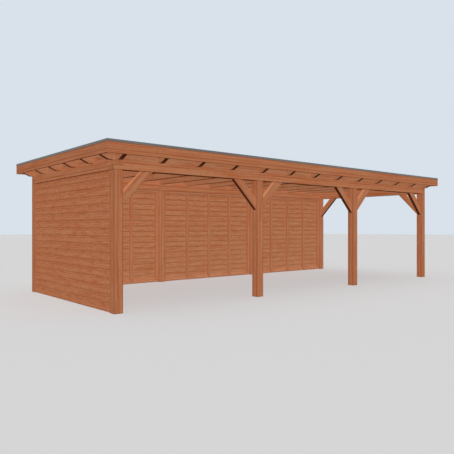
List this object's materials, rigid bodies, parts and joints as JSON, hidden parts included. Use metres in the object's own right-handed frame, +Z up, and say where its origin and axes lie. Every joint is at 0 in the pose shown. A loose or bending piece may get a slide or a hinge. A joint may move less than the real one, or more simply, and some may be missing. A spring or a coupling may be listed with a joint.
{
  "type": "timber canopy",
  "caption": "Long flat-roofed timber canopy on square posts with knee braces, open at the front and one end, boarded at the back and other end, with shaped rafter tails under a raised fascia",
  "frame": {"origin": "on the floor, under the middle of the roof", "axes": "+X along the length to the open end, -Y toward the open front, +Z up"},
  "size_m": [9.63, 4.08, 2.635],
  "materials": {
    "post_wood": "satin orange-brown stain over planed softwood, upright grain",
    "beam_wood": "satin orange-brown stain, grain along the beam",
    "brace_wood": "satin orange-brown stain, grain along the brace",
    "rafter_wood": "satin orange-brown stain, grain along the piece",
    "fascia_wood": "satin orange-brown stain, grain along the board",
    "board_wood": "satin orange-brown stain on level boards",
    "stud_wood": "satin orange-brown stain",
    "deck_wood": "matt brown stain on the roof deck's underside",
    "roof_felt": "matt dark roofing sheet",
    "edge_trim": "matt dark grey coating"
  },
  "bodies": {
    "root": {"back_beam": "beam_wood", "back_eave_blocks": "rafter_wood", "back_edge_trim": "edge_trim", "back_fascia": "fascia_wood", "back_post_1": "post_wood", "back_post_2": "post_wood", "back_post_3": "post_wood", "back_post_4": "post_wood", "back_wall_boards": "board_wood", "back_wall_bottom_rails": "stud_wood", "back_wall_studs": "stud_wood", "back_wall_top_rails": "stud_wood", "felt_upturns": "roof_felt", "front_beam": "beam_wood", "front_brace_left_of_post_2": "brace_wood", "front_brace_left_of_post_3": "brace_wood", "front_brace_left_of_post_4": "brace_wood", "front_brace_right_of_post_1": "brace_wood", "front_brace_right_of_post_2": "brace_wood", "front_brace_right_of_post_3": "brace_wood", "front_eave_blocks": "rafter_wood", "front_edge_trim": "edge_trim", "front_fascia": "fascia_wood", "front_post_1": "post_wood", "front_post_2": "post_wood", "front_post_3": "post_wood", "front_post_4": "post_wood", "left_beam": "beam_wood", "left_edge_trim": "edge_trim", "left_fascia": "fascia_wood", "left_lookouts": "rafter_wood", "left_wall_boards": "board_wood", "left_wall_bottom_rail": "stud_wood", "left_wall_studs": "stud_wood", "left_wall_top_rail": "stud_wood", "rafters": "rafter_wood", "right_beam": "beam_wood", "right_brace_back": "brace_wood", "right_brace_front": "brace_wood", "right_edge_trim": "edge_trim", "right_fascia": "fascia_wood", "right_lookouts": "rafter_wood", "roof_deck": "deck_wood", "roof_felt": "roof_felt"}
  },
  "joints": []
}
